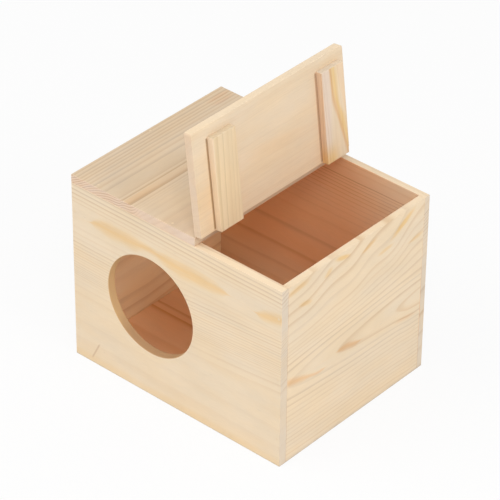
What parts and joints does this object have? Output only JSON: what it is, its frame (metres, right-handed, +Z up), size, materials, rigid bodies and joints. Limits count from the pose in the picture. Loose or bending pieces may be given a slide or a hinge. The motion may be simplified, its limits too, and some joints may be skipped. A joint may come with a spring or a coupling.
{
  "type": "wooden parakeet house",
  "caption": "Nailed pine box with a round entrance low in its front, a fixed top board on one side and a hinged lid with battens, standing open, on the other.",
  "frame": {"origin": "middle of the footprint on the ground, with the lid standing open", "axes": "+X along the front from left to right, +Y from the front panel to the back panel, +Z up"},
  "size_m": [0.2, 0.16, 0.2424],
  "materials": {
    "pine": "bare planed",
    "steel": "zinc plated"
  },
  "bodies": {
    "box": {"front_panel": "pine", "back_panel": "pine", "left_end_panel": "pine", "right_end_panel": "pine", "floor_panel": "pine", "fixed_top_board": "pine", "front_hinge_box_leaf": "steel", "front_hinge_pin": "steel", "rear_hinge_box_leaf": "steel", "rear_hinge_pin": "steel", "hinge_box_screws": "steel", "front_panel_brads": "steel", "back_panel_brads": "steel", "front_floor_brads": "steel", "back_floor_brads": "steel", "fixed_top_brads": "steel"},
    "lid": {"lid_board": "pine", "front_lid_batten": "pine", "rear_lid_batten": "pine", "front_hinge_lid_leaf": "steel", "rear_hinge_lid_leaf": "steel", "hinge_lid_screws": "steel", "front_batten_brads": "steel", "rear_batten_brads": "steel"}
  },
  "joints": [
    {"name": "lid_hinge", "type": "hinge", "parent": "box", "child": "lid", "pos_m": [0.0189, 0, 0.1589], "axis": [0, 1, 0], "range_deg": [0, 96.8]}
  ]
}
